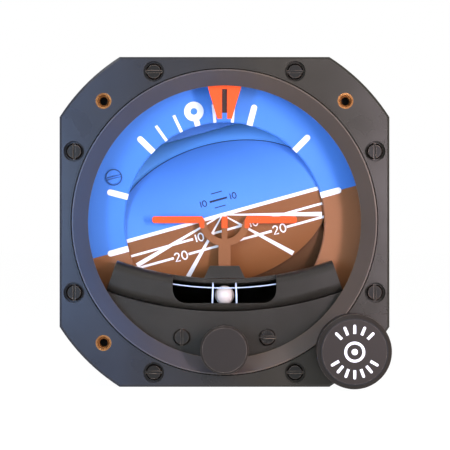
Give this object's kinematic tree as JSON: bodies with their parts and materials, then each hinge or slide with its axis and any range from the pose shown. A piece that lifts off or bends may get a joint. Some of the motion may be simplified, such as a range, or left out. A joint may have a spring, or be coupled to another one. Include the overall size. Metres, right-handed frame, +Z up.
{
  "type": "attitude indicator",
  "caption": "Panel-mounted electric attitude indicator with a rolling bank dial, pitching horizon drum, slip ball, adjustable aircraft symbol and pull-to-cage knob.",
  "frame": {"origin": "where the roll axis meets the bezel face that lies against the back of the panel", "axes": "+Y along the roll axis from the front to the back of the case, +Z up, +X to the right as seen from the front"},
  "size_m": [0.0858, 0.163, 0.0858],
  "materials": {
    "black_paint": "satin",
    "black_ring": "satin",
    "clear_glass": "polished",
    "seal_rubber": "matte",
    "insert_brass": "machined",
    "black_steel": "blackened",
    "case_enamel": "satin",
    "cast_light": "machined",
    "connector_plate": "plated",
    "green_insert": "moulded",
    "contact_brass": "bright",
    "index_orange": "matte",
    "inner_black": "satin",
    "tube_glass": "polished",
    "plug_black": "matte",
    "ball_cream": "polished",
    "symbol_paint": "painted",
    "bright_steel": "machined",
    "knob_black": "moulded",
    "bush_bronze": "sintered",
    "dial_paint": "painted",
    "frame_light": "cast",
    "bearing_steel": "ground",
    "drum_brown": "painted",
    "sky_paint": "painted",
    "ground_paint": "painted",
    "rotor_brass": "turned",
    "stator_copper": "wound",
    "slip_moulding": "moulded"
  },
  "bodies": {
    "case": {"adjusting_bush": "bush_bronze", "bank_index": "index_orange", "bearing_carrier": "cast_light", "bezel_gasket": "seal_rubber", "bezel_plate": "black_paint", "bezel_screws": "black_steel", "brush_block": "slip_moulding", "brushes": "contact_brass", "caging_bush": "bush_bronze", "caging_spring": "bright_steel", "caging_tube": "case_enamel", "case_tube": "case_enamel", "connector_contacts": "contact_brass", "connector_insulator": "green_insert", "connector_screws": "bright_steel", "connector_shell": "connector_plate", "cover_glass": "clear_glass", "front_bracket": "inner_black", "front_frame": "case_enamel", "glass_gasket": "seal_rubber", "inclinometer_housing": "inner_black", "inclinometer_tube": "tube_glass", "lower_mask": "inner_black", "mask_screws": "black_steel", "mounting_inserts": "insert_brass", "rear_cover": "case_enamel", "rear_cover_screws": "bright_steel", "rear_gasket": "seal_rubber", "roll_bearings": "bearing_steel", "symbol_guide": "inner_black", "tube_plugs": "plug_black", "window_ring": "black_ring"},
    "symbol": {"aircraft_symbol": "symbol_paint", "symbol_slide": "bright_steel"},
    "adjuster": {"adjusting_knob": "knob_black", "adjusting_shaft": "bright_steel"},
    "caging_control": {"caging_fork": "bright_steel", "caging_knob": "knob_black", "caging_rod": "bright_steel"},
    "roll_assembly": {"bank_dial": "dial_paint", "caging_cam": "bush_bronze", "dial_screws": "dial_paint", "pitch_bearings": "bearing_steel", "roll_gimbal": "frame_light", "roll_shaft": "bright_steel", "slip_rings": "slip_moulding"},
    "pitch_assembly": {"balance_weights": "rotor_brass", "ground_shell": "ground_paint", "gyro_frame": "frame_light", "gyro_stator": "stator_copper", "horizon_links": "frame_light", "horizon_plate": "drum_brown", "pitch_pivots": "bright_steel", "rotor_bearings": "bearing_steel", "sky_shell": "sky_paint"},
    "rotor": {"gyro_rotor": "rotor_brass", "rotor_shaft": "bright_steel"},
    "slip_ball": {"inclinometer_ball": "ball_cream"}
  },
  "joints": [
    {"name": "roll", "type": "hinge", "parent": "case", "child": "roll_assembly", "pos_m": [0, 0, 0], "axis": [0, 1, 0], "continuous": true},
    {"name": "pitch", "type": "hinge", "parent": "roll_assembly", "child": "pitch_assembly", "pos_m": [0, 0.043, 0], "axis": [0.9636, 0, 0.2672], "range_deg": [-80, 85]},
    {"name": "rotor_spin", "type": "hinge", "parent": "pitch_assembly", "child": "rotor", "pos_m": [0, 0.043, 0], "axis": [-0.2665, 0.0767, 0.9608], "continuous": true},
    {"name": "adjuster_turn", "type": "hinge", "parent": "case", "child": "adjuster", "pos_m": [0, 0, -0.033], "axis": [0, -1, 0], "range_deg": [-30, 30]},
    {"name": "symbol_lift", "type": "slide", "parent": "case", "child": "symbol", "axis": [0, 0, 1], "range_m": [-0.0025, 0.0025]},
    {"name": "caging_pull", "type": "slide", "parent": "case", "child": "caging_control", "axis": [0, -1, 0], "range_m": [0, 0.006], "stiffness_N_per_m": 400, "springref_m": -0.004, "deforming": ["caging_spring"]},
    {"name": "ball_roll", "type": "hinge", "parent": "case", "child": "slip_ball", "pos_m": [0, 0.0098, 0.07], "axis": [0, 1, 0], "range_deg": [-8, 8]}
  ],
  "couplings": [
    {"joint": "adjuster_turn", "follows": "symbol_lift", "rad_per_m": 209.44}
  ]
}
